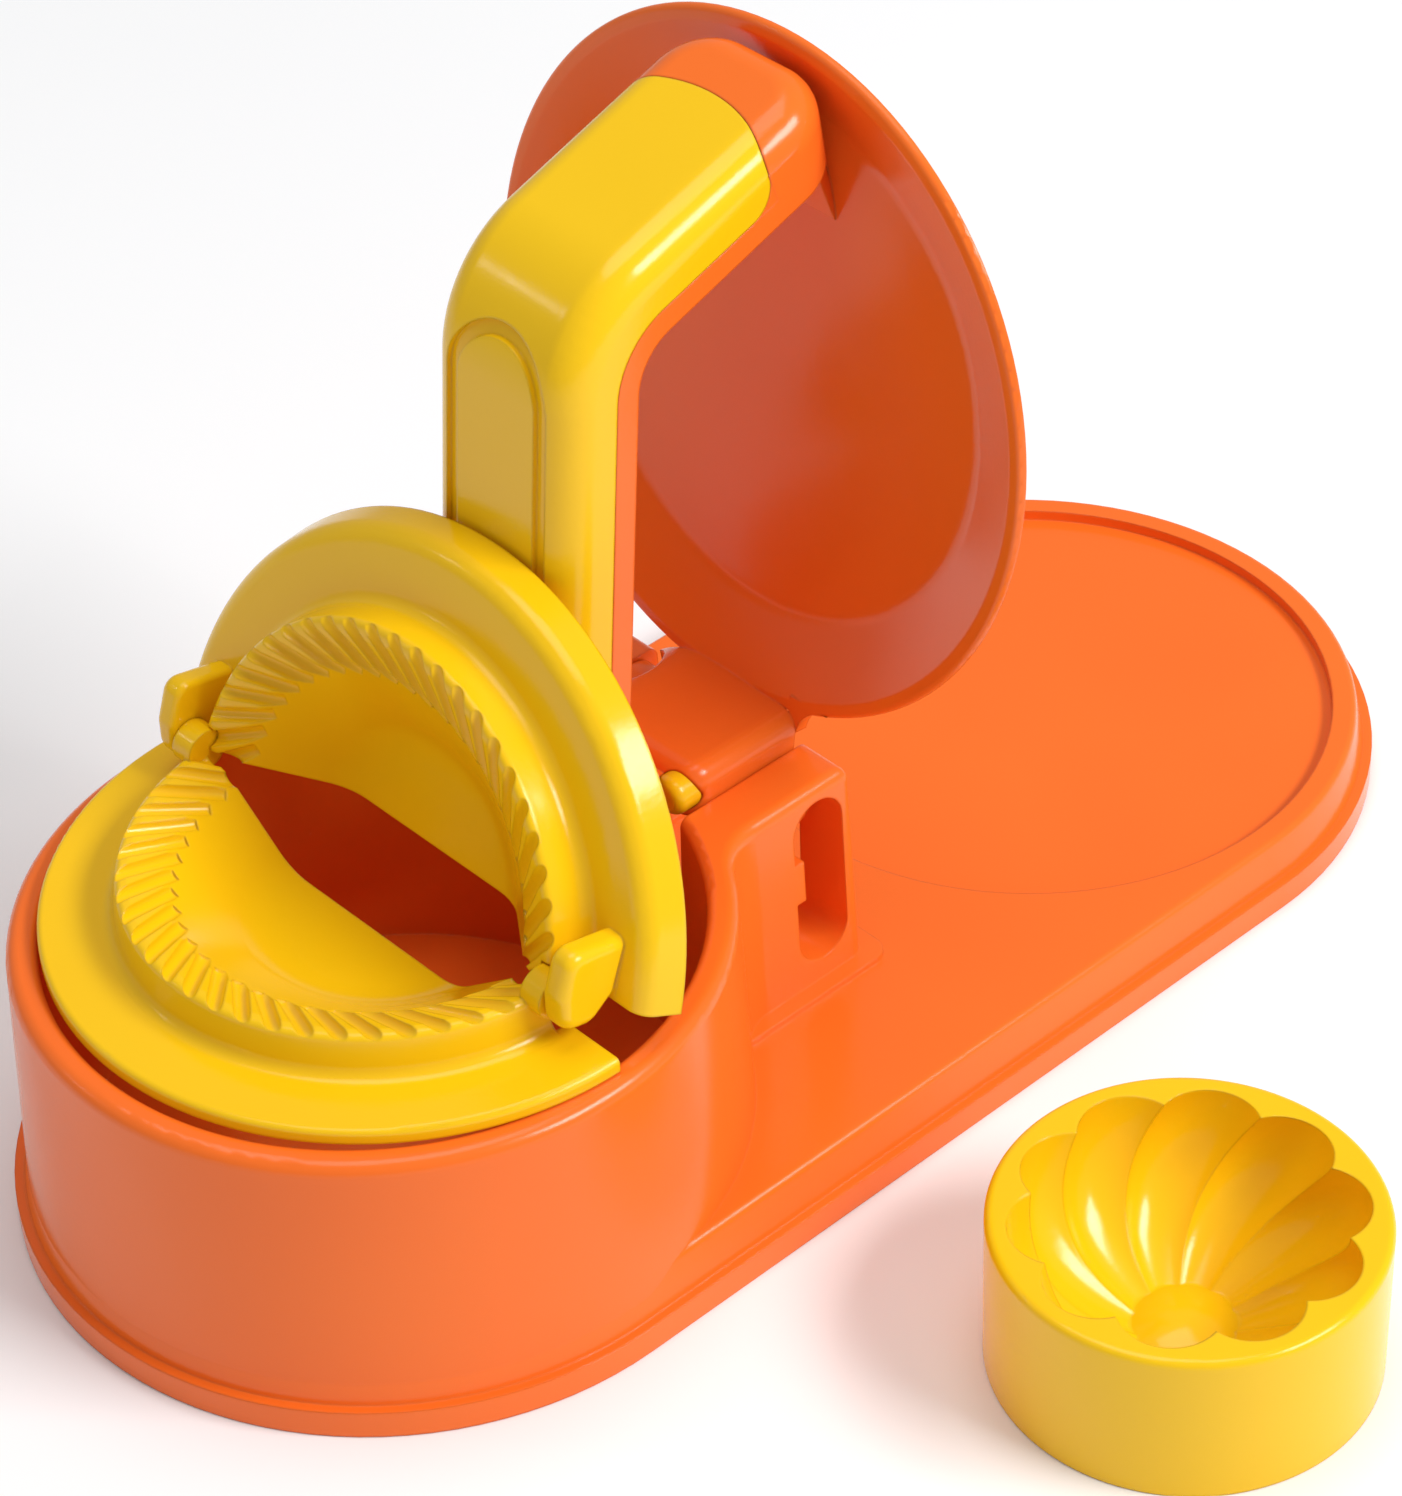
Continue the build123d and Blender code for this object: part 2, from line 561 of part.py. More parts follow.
def make_half(skirt, flange_start):
    """One half of the mould in its own frame, before its hinge parts are added."""
    full = Pos(-MOULD_CENTRE_BACK, 0, 0) * revolve(Plane.XZ * half_profile(skirt), Axis.Z)
    full = full.cut(*flute_cutters())
    size = 4 * MOULD_RADIUS
    keep = Pos(MOULD_SEAM + size / 2, 0, 0) * Box(size, size, size)
    flange_ring = Pos(-MOULD_CENTRE_BACK, 0, -FLANGE_DROP - size / 2) * (
        Cylinder(size, size) - Cylinder(CREST_FOOT + BODY_GAP, size + 1)
    )
    flange_keep = flange_ring & (Pos(flange_start + size / 2, 0, 0) * Box(size, size, size))
    return full & (keep + flange_keep)


def cylinder_across(radius, inner, outer):
    """Two equal cylinders along Y on the mould's hinge line, one on each side."""
    rod = Rot(90, 0, 0) * Cylinder(radius, outer - inner)
    middle = (inner + outer) / 2
    return Pos(0, middle, 0) * rod + Pos(0, -middle, 0) * rod


def make_front_half():
    """Half of the mould that rests on the cup's rim, with the hinge knuckles and their stubs."""
    half = make_half(0, FRONT_FLANGE_START)
    half += cylinder_across(KNUCKLE_RADIUS, KNUCKLE_IN, KNUCKLE_OUT)
    half += cylinder_across(STUB_RADIUS, KNUCKLE_OUT - 1, STUB_END)
    return Plane(origin=(0, 0, MOULD_AXIS_Z), x_dir=(-1, 0, 0), z_dir=(0, 0, 1)) * half


def make_rear_half():
    """Raised half of the mould, with a skirt behind its flange and an ear over each stub."""
    half = make_half(REAR_SKIRT, MOULD_SEAM)
    half -= cylinder_across(KNUCKLE_RADIUS + BODY_GAP, KNUCKLE_IN - BODY_GAP, EAR_IN)
    paddle = Circle(EAR_HUB_RADIUS) + Pos(EAR_REACH, 0) * Circle(EAR_RADIUS)
    root = Pos(EAR_REACH, -FLANGE_DROP / 2 - 0.5) * Rectangle(2 * EAR_REACH - 1, FLANGE_DROP + 1)
    thickness = EAR_OUT - EAR_IN
    ear = extrude(Plane.XZ * (paddle + root), amount=thickness / 2, both=True)
    for side in (-1, 1):
        half += Pos(0, side * (EAR_IN + thickness / 2), 0) * ear
    half -= cylinder_across(STUB_RADIUS + RUNNING_FIT, EAR_IN - 1, STUB_END + BODY_GAP)
    return half_plane(MOULD_OPEN_TILT) * half


def flower_outline(share):
    """Scalloped outline at a share of the way from the cavity's rim to its floor, turned with the depth."""
    radius = FLOWER_RIM_LOBE - (FLOWER_RIM_LOBE - FLOWER_FLOOR_LOBE) * share**FLOWER_BOWL_POWER
    step = 360 / FLOWER_LOBES
    arcs = []
    for index in range(FLOWER_LOBES):
        start = FLOWER_FIRST_CUSP + FLOWER_TWIST * share + index * step
        first = Vector(radius * FLOWER_CUSP_SHARE, 0).rotate(Axis.Z, start)
        middle = Vector(radius, 0).rotate(Axis.Z, start + step / 2)
        last = Vector(radius * FLOWER_CUSP_SHARE, 0).rotate(Axis.Z, start + step)
        arcs.append(ThreePointArc(first, middle, last))
    return make_face(Wire(arcs))


def make_flower_mould():
    """Loose round block with a twisted, scalloped cavity and a low dome in its floor."""
    block = Cylinder(FLOWER_RADIUS, FLOWER_HEIGHT, align=(Align.CENTER, Align.CENTER, Align.MIN))
    block = fillet(block.faces().sort_by(Axis.Z)[-1].edges(), FLOWER_EDGE_ROUND)
    top = FLOWER_HEIGHT + 1
    sections = []
    for level in range(FLOWER_LEVELS + 1):
        share = level / FLOWER_LEVELS
        sections.append(Pos(0, 0, top - (top - FLOWER_FLOOR) * share) * flower_outline(share))
    block -= loft(sections)
    sphere_radius = (FLOWER_DOME_RADIUS**2 + FLOWER_DOME_RISE**2) / (2 * FLOWER_DOME_RISE)
    dome = Pos(0, 0, FLOWER_FLOOR + FLOWER_DOME_RISE - sphere_radius) * Sphere(sphere_radius)
    dome &= Pos(0, 0, FLOWER_FLOOR) * Cylinder(FLOWER_DOME_RADIUS, 2 * FLOWER_DOME_RISE)
    return Pos(FLOWER_X, FLOWER_Y, 0) * (block + dome)


NODES = {
    "base_housing": make_base,
    "press_lid": make_press_lid,
    "grip_cover": make_grip_cover,
    "hinge_pin": make_hinge_pin,
    "push_peg": make_push_peg,
    "front_mould_half": make_front_half,
    "rear_mould_half": make_rear_half,
    "flower_mould": make_flower_mould,
}

os.makedirs("parts", exist_ok=True)
for name, make in NODES.items():
    part = make()
    export_step(part, f"parts/{name}.step")
    print(name, round(part.volume), "mm3", part.is_valid, len(part.solids()), part.bounding_box())
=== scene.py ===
import math

import bmesh
import bpy
from mathutils import Matrix, Vector


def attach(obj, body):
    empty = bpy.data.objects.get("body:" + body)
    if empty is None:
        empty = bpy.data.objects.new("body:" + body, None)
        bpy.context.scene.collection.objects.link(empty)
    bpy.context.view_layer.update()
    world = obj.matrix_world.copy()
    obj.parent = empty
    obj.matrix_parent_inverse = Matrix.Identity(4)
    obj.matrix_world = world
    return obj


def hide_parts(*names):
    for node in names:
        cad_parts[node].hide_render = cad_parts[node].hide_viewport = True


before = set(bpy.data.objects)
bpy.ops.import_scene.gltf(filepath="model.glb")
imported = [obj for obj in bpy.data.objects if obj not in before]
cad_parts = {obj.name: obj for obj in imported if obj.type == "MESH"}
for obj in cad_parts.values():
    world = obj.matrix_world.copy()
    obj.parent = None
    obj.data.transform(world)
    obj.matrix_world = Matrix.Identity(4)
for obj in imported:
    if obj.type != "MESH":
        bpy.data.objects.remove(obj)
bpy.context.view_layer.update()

# Camera. Metres, degrees, and millimetres of lens.
CAMERA_PLACE = (-0.33309, -0.44795, 0.53454)
CAMERA_AZIMUTH = 48.12
CAMERA_ELEVATION = 39.19
CAMERA_ROLL = -2.31
CAMERA_LENS_MM = 116.25
CAMERA_FAR = 20

# Light and floor. Metres and watts. A lamp is its name, place, size and power.
LAMP_TARGET = (0.06, 0, 0.06)
LAMPS = [
    ("key", (0.60, -1.22, 1.28), (0.85, 0.5), 24),
    ("top", (0.10, 0.10, 1.7), (1.0, 1.0), 8),
    ("spot", (-0.75, 0.90, 0.80), (0.07, 0.07), 0.3),
]
WORLD_COLOUR = (0.97, 0.98, 1.0, 1)
WORLD_STRENGTH = 0.38
FLOOR_HALF_WIDTH = 6.0
FLOOR_DROP = 0.0002
FLOOR_WHITE = (0.96, 0.96, 0.96)
FLOOR_BRIGHT = (0.98, 0.98, 0.98)
FLOOR_PATCH_SCALE = 3.0
FLOOR_ROUGHNESS = 0.9

# Plastics: two near colours each, and the range of their roughness
ORANGE = (0.95, 0.176, 0.018)
ORANGE_SHIFT = (0.92, 0.160, 0.016)
ORANGE_ROUGHNESS = (0.15, 0.22)
YELLOW = (0.94, 0.57, 0.005)
YELLOW_SHIFT = (0.92, 0.54, 0.004)
YELLOW_ROUGHNESS = (0.13, 0.20)
FLOW_SCALE = 14.0
GLOSS_SCALE = 60.0
GRAIN_SCALE = 900.0
GRAIN_DETAIL = 3.0
GRAIN_STRENGTH = 0.06
GRAIN_DEPTH = 0.0003
EDGE_ROUND = 0.0006
PLASTIC_IOR = 1.5
PLASTIC_SPECULAR = 0.36


def new_material(name):
    """Empty node material with its output and a Principled shader linked."""
    material = bpy.data.materials.new(name)
    material.use_nodes = True
    tree = material.node_tree
    tree.nodes.clear()
    output = tree.nodes.new("ShaderNodeOutputMaterial")
    shader = tree.nodes.new("ShaderNodeBsdfPrincipled")
    tree.links.new(shader.outputs["BSDF"], output.inputs["Surface"])
    return material, tree, shader


def noise(tree, coords, scale, detail=2.0):
    """Value of a noise, from 0 to 1."""
    node = tree.nodes.new("ShaderNodeTexNoise")
    node.inputs["Scale"].default_value = scale
    node.inputs["Detail"].default_value = detail
    tree.links.new(coords, node.inputs["Vector"])
    return node.outputs["Fac"]


def ramp(tree, value, low, high, start=0.35, end=0.65):
    """Spread a noise value between two colours."""
    node = tree.nodes.new("ShaderNodeValToRGB")
    node.color_ramp.elements[0].position = start
    node.color_ramp.elements[1].position = end
    node.color_ramp.elements[0].color = (*low, 1)
    node.color_ramp.elements[1].color = (*high, 1)
    tree.links.new(value, node.inputs["Fac"])
    return node.outputs["Color"]


def map_range(tree, value, low, high, start=0.3, end=0.7):
    """Spread a noise value between two numbers."""
    node = tree.nodes.new("ShaderNodeMapRange")
    node.inputs["From Min"].default_value = start
    node.inputs["From Max"].default_value = end
    node.inputs["To Min"].default_value = low
    node.inputs["To Max"].default_value = high
    tree.links.new(value, node.inputs["Value"])
    return node.outputs["Result"]


def plastic(name, colour, shifted, roughness):
    """Moulded gloss plastic: faint flow marks, uneven gloss, soft edges and a very fine grain."""
    material, tree, shader = new_material(name)
    coords = tree.nodes.new("ShaderNodeTexCoord").outputs["Object"]
    flow = noise(tree, coords, FLOW_SCALE)
    tree.links.new(ramp(tree, flow, shifted, colour), shader.inputs["Base Color"])
    patches = noise(tree, coords, GLOSS_SCALE)
    tree.links.new(map_range(tree, patches, *roughness), shader.inputs["Roughness"])
    edges = tree.nodes.new("ShaderNodeBevel")
    edges.inputs["Radius"].default_value = EDGE_ROUND
    grain = tree.nodes.new("ShaderNodeBump")
    tree.links.new(edges.outputs["Normal"], grain.inputs["Normal"])
    grain.inputs["Strength"].default_value = GRAIN_STRENGTH
    grain.inputs["Distance"].default_value = GRAIN_DEPTH
    tree.links.new(noise(tree, coords, GRAIN_SCALE, GRAIN_DETAIL), grain.inputs["Height"])
    tree.links.new(grain.outputs["Normal"], shader.inputs["Normal"])
    shader.inputs["IOR"].default_value = PLASTIC_IOR
    shader.inputs["Specular IOR Level"].default_value = PLASTIC_SPECULAR
    return material


# Distances in metres within which points count as one
NODE_WELD = 2e-7
SHAPE_WELD = 1e-7

# Reshaped pieces. Their sizes are in millimetres, in the CAD frame.
MM = 0.001
SHARP_ANGLE = math.radians(32)

# Handle. The knee is where the middle lines of its bar and arm meet, in XZ.
KNEE = (39.218, 143.8)
KNEE_RADIUS = 17.0
KNEE_STEPS = 24
BAR_LEAN = math.radians(4.8)
BAR_REACH = 80.0
ARM_RISE = math.radians(18.5)
ARM_REACH = 60.0
ARM_HALF_WIDTH = 15.5
ARM_HALF_DEPTH = 7.1
ARM_ROUND = 6.2
ARM_ROUND_STEPS = 8

# Arm's end, along the arm from the knee, and the part of the arm that it takes the place of
END_START = 36.2
END_FRONT = 53.3
END_CORNER = 10.5
END_CORNER_STEPS = 16
END_LEAN = 0.17
ARM_CUT_END = 75.0
ARM_CUT_HALF_WIDTH = 18.0
ARM_CUT_LOW = -32.0
ARM_CUT_HIGH = 12.0

# Toe under the arm's end. Its side view is in XZ, and a post on the arm rounds it in plan.
TOE_OUTLINE = [
    (80.0, 155.0),
    (80.0, 149.4),
    (83.0, 150.4),
    (85.0, 150.2),
    (86.6, 149.0),
    (87.8, 146.8),
    (88.9, 143.9),
    (89.9, 141.2),
    (91.1, 138.4),
    (92.9, 138.4),
    (94.2, 155.0),
]
TOE_CENTRE = 42.3
TOE_RADIUS = 11.0
TOE_POST_LOW = -40.0
TOE_STEPS = 96
TOE_SPARE = 1.0

# Dish: its front face about its own axis, as radius and depth. The bend joins the floor to the cone.
DISH_MIDDLE = (81.4, 111.5)
DISH_LEAN = math.radians(8.1)
DISH_BEND_CENTRE = (41.133, -1.0)
DISH_BEND_RADIUS = 7.0
DISH_BEND_TURN = math.radians(26.8)
DISH_BEND_STEPS = 6
DISH_RIM = 54.7
DISH_SPARE_RADIUS = 20.0
DISH_SPARE_DEPTH = 30.0
DISH_STEPS = 160
DISH_SKIN = 0.02

# Grip cover: its end on the arm, its seam at the sides, and the bare pad on the bar
COVER_ARC_CENTRE = 14.7
COVER_ARC_RADIUS = 26.1
COVER_ARC_STEPS = 256
COVER_ARC_TOP = 20.0
COVER_SEAM = -3.0
COVER_SIDE_END = 35.6
COVER_CORNER = 5.2
COVER_CORNER_STEPS = 10
COVER_CORNER_REACH = 6.0
COVER_CORNER_DROP = 0.2
COVER_CORNER_SPARE = 0.1
COVER_LOW = -2.9
PAD_MIDDLE_Z = 112.0
PAD_LENGTH = 62.0
PAD_WIDTH = 21.6
PAD_STEPS = 96
PAD_CUT_X = (15.0, 48.0)
GROOVE = 2.4
GROOVE_DEPTH = 0.9

# Ears, in the raised half's own frame: out from its hinge line, and up from there.
# A corner is its place and its radius.
MOULD_HINGE_Z = 61.4
MOULD_TILT = math.radians(73)
EAR_CORNERS = [
    (-3.4, -3.6, 3.4),
    (-3.4, 2.2, 3.4),
    (2.4, 4.0, 3.4),
    (10.0, 3.6, 2.6),
    (10.7, -7.6, 0.6),
    (1.6, -7.6, 2.4),
]
EAR_CORNER_STEPS = 8
EAR_BACK = 43.02
EAR_BACK_GAP = 0.03
EAR_FRONT = 47.6
EAR_BACK_SOFT = 1.1
EAR_FRONT_SOFT = 2.0
EAR_SOFT_STEPS = 6
EAR_CUT_OUT = (-9, 16)
EAR_CUT_UP = (-7.05, 12)
EAR_CUT_FRONT = 49.2
BORE_RADIUS = 1.95
BORE_START = 40.0
BORE_END = 46.5
BORE_STEPS = 48

# Hinge pin
PIN_CENTRE = (69.05, 43.6)
PIN_RADIUS = 4.05
PIN_END = 21.2
PIN_ROUND = 0.8
PIN_ROUND_STEPS = 5
PIN_STEPS = 48


def mesh_object(name, verts, faces):
    """New closed object from points in millimetres, with its faces turned outwards."""
    mesh = bpy.data.meshes.new(name)
    mesh.from_pydata([tuple(value * MM for value in vert) for vert in verts], [], faces)
    bm = bmesh.new()
    bm.from_mesh(mesh)
    bmesh.ops.remove_doubles(bm, verts=bm.verts, dist=SHAPE_WELD)
    bmesh.ops.recalc_face_normals(bm, faces=bm.faces)
    bm.to_mesh(mesh)
    bm.free()
    shape = bpy.data.objects.new(name, mesh)
    bpy.context.scene.collection.objects.link(shape)
    return shape


def loft(name, rings, flat_back=False):
    """Solid through rings of equally many points, closed by a flat face at each end.

    With a flat back, one face joins each ring's last point to its first.
    """
    count = len(rings[0])
    verts = [vert for ring in rings for vert in ring]
    faces = [tuple(range(count)), tuple(range(len(verts) - 1, len(verts) - count - 1, -1))]
    for level in range(len(rings) - 1):
        for index in range(count - 1 if flat_back else count):
            a = level * count + index
            b = level * count + (index + 1) % count
            faces.append((a, b, b + count, a + count))
    if flat_back:
        faces.append((*range(0, len(verts), count), *range(len(verts) - 1, 0, -count)))
    return mesh_object(name, verts, faces)


def prism(name, outline, near, far):
    """Solid between two planes of constant y, from an outline in XZ."""
    return loft(name, [[(x, y, z) for x, z in outline] for y in (near, far)])


def circle(centre, radius, steps):
    """Points of a circle in its own plane."""
    turns = [2 * math.pi * step / steps for step in range(steps)]
    return [(centre[0] + radius * math.cos(turn), centre[1] + radius * math.sin(turn)) for turn in turns]


def quarter_round(radius, steps):
    """Inset and rise of each point up a rounded edge, from its foot to its top."""
    turns = [math.pi / 2 * step / steps for step in range(steps + 1)]
    return [(radius * (1 - math.cos(turn)), radius * math.sin(turn)) for turn in turns]


def rounded(corners, steps):
    """Closed outline through corners that each have a place and a radius."""
    outline = []
    for index, (*place, radius) in enumerate(corners):
        here = Vector(place)
        before = (Vector(corners[index - 1][:2]) - here).normalized()
        after = (Vector(corners[(index + 1) % len(corners)][:2]) - here).normalized()
        half_angle = before.angle(after) / 2
        centre = here + (before + after).normalized() * radius / math.sin(half_angle)
        start = here + before * radius / math.tan(half_angle) - centre
        end = here + after * radius / math.tan(half_angle) - centre
        for step in range(steps + 1):
            spoke = start.slerp(end, step / steps).normalized()
            outline.append(tuple(centre + spoke * radius))
    return outline


def copy_node(name, node_name):
    """Closed copy of a CAD node's mesh, to be reshaped."""
    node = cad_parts[node_name]
    bm = bmesh.new()
    bm.from_mesh(node.data)
    bm.transform(node.matrix_world)
    bmesh.ops.remove_doubles(bm, verts=bm.verts, dist=NODE_WELD)
    mesh = bpy.data.meshes.new(name)
    bm.to_mesh(mesh)
    bm.free()
    if "custom_normal" in mesh.attributes:
        mesh.attributes.remove(mesh.attributes["custom_normal"])
    shape = bpy.data.objects.new(name, mesh)
    bpy.context.scene.collection.objects.link(shape)
    return shape


def combine(shape, tool, operation):
    """Boolean of two solids. The tool is used up."""
    modifier = shape.modifiers.new("combine", "BOOLEAN")
    modifier.operation = operation
    modifier.solver = "EXACT"
    modifier.object = tool
    bpy.context.view_layer.update()
    evaluated = shape.evaluated_get(bpy.context.evaluated_depsgraph_get())
    result = bpy.data.meshes.new_from_object(evaluated)
    shape.modifiers.clear()
    shape.data = result
    bpy.data.objects.remove(tool)


def finish_shape(shape, material, body, node_name):
    """Smooth the shape's rounds, keep its flats flat, and let it stand for its CAD node."""
    mesh = shape.data
    mesh.materials.clear()
    mesh.materials.append(material)
    mesh.polygons.foreach_set("use_smooth", [True] * len(mesh.polygons))
    mesh.set_sharp_from_angle(angle=SHARP_ANGLE)
    normals = shape.modifiers.new("flats", "WEIGHTED_NORMAL")
    normals.keep_sharp = True
    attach(shape, body)
    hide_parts(node_name)


def arm_place(along, across, up):
    """Point given along the handle's arm from the knee, across it, and up from its middle."""
    x = KNEE[0] + along * math.cos(ARM_RISE) - up * math.sin(ARM_RISE)
    return (x, across, KNEE[1] + along * math.sin(ARM_RISE) + up * math.cos(ARM_RISE))


def arm_prism(name, outline, half_width):
    """Solid across the arm, from an outline given along the arm and up from its middle."""
    places = [arm_place(along, 0, up) for along, up in outline]
    return prism(name, [(x, z) for x, _, z in places], -half_width, half_width)


def arm_post(name, centre, radius, low, high, steps):
    """Round post standing on the arm, square to it."""
    ring = circle((centre, 0), radius, steps)
    return loft(name, [[arm_place(along, across, up) for along, across in ring] for up in (low, high)])


def dish_place(up, across, depth):
    """Point given up the dish's face from its middle, across it, and behind the plane of its rim."""
    x = DISH_MIDDLE[0] + depth * math.cos(DISH_LEAN) + up * math.sin(DISH_LEAN)
    return (x, across, DISH_MIDDLE[1] - depth * math.sin(DISH_LEAN) + up * math.cos(DISH_LEAN))


def behind_dish():
    """Everything behind the dish's front face, and a skin before it, as a turned solid."""
    profile = []
    for step in range(DISH_BEND_STEPS + 1):
        turn = DISH_BEND_TURN * step / DISH_BEND_STEPS
        radius = DISH_BEND_CENTRE[0] + DISH_BEND_RADIUS * math.sin(turn)
        profile.append((radius, DISH_BEND_CENTRE[1] + DISH_BEND_RADIUS * math.cos(turn)))
    widest = DISH_RIM + DISH_SPARE_RADIUS
    profile += [(DISH_RIM, 0.0), (widest, 0.0), (widest, DISH_SPARE_DEPTH)]
    rings = []
    for radius, depth in profile:
        ring = circle((0, 0), radius, DISH_STEPS)
        rings.append([dish_place(up, across, depth - DISH_SKIN) for up, across in ring])
    return loft("behind_dish", rings)


def arm_end():
    """Round end of the handle's arm, flush with its top, sides and rounded edges."""
    edge = quarter_round(ARM_ROUND, ARM_ROUND_STEPS)
    levels = [(0.0, -ARM_HALF_DEPTH)]
    levels += [(inset, ARM_HALF_DEPTH - ARM_ROUND + rise) for inset, rise in edge]
    side = ARM_HALF_WIDTH - END_CORNER
    rings = []
    for inset, height in levels:
        radius = END_CORNER - inset
        centre = END_FRONT - END_CORNER + END_LEAN * (height - ARM_HALF_DEPTH)
        ring = [(END_START, inset - ARM_HALF_WIDTH)]
        for corner in (-1, 1):
            for step in range(END_CORNER_STEPS + 1):
                turn = math.pi / 2 * (step / END_CORNER_STEPS + (corner - 1) / 2)
                ring.append((centre + radius * math.cos(turn), corner * side + radius * math.sin(turn)))
        ring.append((END_START, ARM_HALF_WIDTH - inset))
        rings.append([arm_place(along, across, height) for along, across in ring])
    end = loft("arm_end", rings, flat_back=True)
    centre, radius = COVER_ARC_CENTRE, COVER_ARC_RADIUS
    recess = arm_post("cover_recess", centre, radius, COVER_SEAM, COVER_ARC_TOP, COVER_ARC_STEPS)
    combine(end, recess, "DIFFERENCE")
    return end


def cover_corner(name, spare):
    """Corner outside the round at the foot of the cover's end, made smaller by the spare."""
    radius = COVER_CORNER - spare
    arc = quarter_round(radius, COVER_CORNER_STEPS)
    outline = [(COVER_SIDE_END + spare - inset, COVER_LOW + radius - rise) for inset, rise in arc]
    far_end = COVER_SIDE_END + COVER_CORNER_REACH
    foot = COVER_LOW - COVER_CORNER_DROP
    outline += [(outline[-1][0], foot), (far_end, foot), (far_end, COVER_LOW + radius)]
    return arm_prism(name, outline, ARM_HALF_WIDTH - spare / 2)


def make_lid():
    """The lid with the arm's end rounded in plan and over its top, and a small toe down the dish."""
    lid = copy_node("press_lid_shape", "press_lid")
    low, high = ARM_CUT_LOW, ARM_CUT_HIGH
    outline = [(END_START, low), (ARM_CUT_END, low), (ARM_CUT_END, high), (END_START, high)]
    cutter = arm_prism("arm_cut", outline, ARM_CUT_HALF_WIDTH)
    combine(cutter, behind_dish(), "DIFFERENCE")
    combine(lid, cutter, "DIFFERENCE")
    toe = prism("toe", TOE_OUTLINE, -ARM_HALF_WIDTH - TOE_SPARE, ARM_HALF_WIDTH + TOE_SPARE)
    post = arm_post("toe_post", TOE_CENTRE, TOE_RADIUS, TOE_POST_LOW, 0.0, TOE_STEPS)
    combine(toe, post, "INTERSECT")
    end = arm_end()
    combine(end, toe, "UNION")
    combine(end, cover_corner("corner_fill", COVER_CORNER_SPARE), "UNION")
    combine(lid, end, "UNION")
    return lid


def handle_core(name, sink):
    """The bar, knee and arm as one swept solid, sunk under their outer faces."""
    turn_angle = math.pi / 2 - ARM_RISE - BAR_LEAN
    run = KNEE_RADIUS * math.tan(turn_angle / 2)
    down = Vector((-math.sin(BAR_LEAN), -math.cos(BAR_LEAN)))
    inwards = Vector((math.cos(BAR_LEAN), -math.sin(BAR_LEAN)))
    along = Vector((math.cos(ARM_RISE), math.sin(ARM_RISE)))
    bend_start = Vector(KNEE) + down * run
    bend_centre = bend_start + inwards * KNEE_RADIUS
    stations = [(bend_start + down * BAR_REACH, BAR_LEAN)]
    for step in range(KNEE_STEPS + 1):
        lean = BAR_LEAN + turn_angle * step / KNEE_STEPS
        outwards = Vector((-math.cos(lean), math.sin(lean)))
        stations.append((bend_centre + outwards * KNEE_RADIUS, lean))
    stations.append((Vector(KNEE) + along * ARM_REACH, BAR_LEAN + turn_angle))
    half = ARM_HALF_WIDTH - sink
    foot = ARM_HALF_DEPTH - ARM_ROUND
    corner = quarter_round(ARM_ROUND - sink, ARM_ROUND_STEPS)
    edge = [(half - inset, foot + rise) for inset, rise in corner]
    section = [(-half, -ARM_HALF_DEPTH), (half, -ARM_HALF_DEPTH), *edge]
    section += [(-across, out) for across, out in reversed(edge)]
    rings = []
    for place, lean in stations:
        outwards = Vector((-math.cos(lean), math.sin(lean)))
        ring = []
        for across, out in section:
            x, z = place + outwards * out
            ring.append((x, across, z))
        rings.append(ring)
    return loft(name, rings)


def pad_prism(name, inset):
    """Oval of the bare pad, run through the bar along X."""
    half = PAD_WIDTH / 2 - inset
    straight = (PAD_LENGTH - PAD_WIDTH) / 2
    outline = []
    for step in range(PAD_STEPS):
        turn = 2 * math.pi * (step + 0.5) / PAD_STEPS
        shift = math.copysign(straight, math.sin(turn))
        outline.append((half * math.cos(turn), PAD_MIDDLE_Z + shift + half * math.sin(turn)))
    return loft(name, [[(x, y, z) for y, z in outline] for x in PAD_CUT_X])


def make_cover():
    """The grip cover with its lower end corners rounded and the pad's groove at its full width."""
    cover = copy_node("grip_cover_shape", "grip_cover")
    combine(cover, cover_corner("corner_cut", 0.0), "DIFFERENCE")
    groove = pad_prism("groove", 0.0)
    combine(groove, pad_prism("pad_keep", GROOVE), "DIFFERENCE")
    combine(groove, handle_core("groove_floor", GROOVE_DEPTH), "DIFFERENCE")
    combine(cover, groove, "DIFFERENCE")
    return cover


def half_place(out, up):
    """Point in XZ, from the raised half's own frame."""
    x = out * math.cos(MOULD_TILT) - up * math.sin(MOULD_TILT)
    return (x, MOULD_HINGE_Z + out * math.sin(MOULD_TILT) + up * math.cos(MOULD_TILT))


def ear_paddle(side, outline):
    """Ear on one side, with soft edges round both its faces."""
    back, front = EAR_BACK + EAR_BACK_GAP, EAR_FRONT
    back_edge = quarter_round(EAR_BACK_SOFT, EAR_SOFT_STEPS)
    front_edge = quarter_round(EAR_FRONT_SOFT, EAR_SOFT_STEPS)
    levels = [(back + EAR_BACK_SOFT - rise, inset) for inset, rise in reversed(back_edge)]
    levels += [(front - EAR_FRONT_SOFT + rise, inset) for inset, rise in front_edge]
    points = [Vector(point) for point in outline]
    middle = sum(points, Vector((0, 0))) / len(points)
    rings = []
    for across, inset in levels:
        ring = []
        for point in points:
            spoke = point - middle
            x, z = half_place(*(point - spoke.normalized() * inset))
            ring.append((x, side * across, z))
        rings.append(ring)
    return loft("ear", rings)


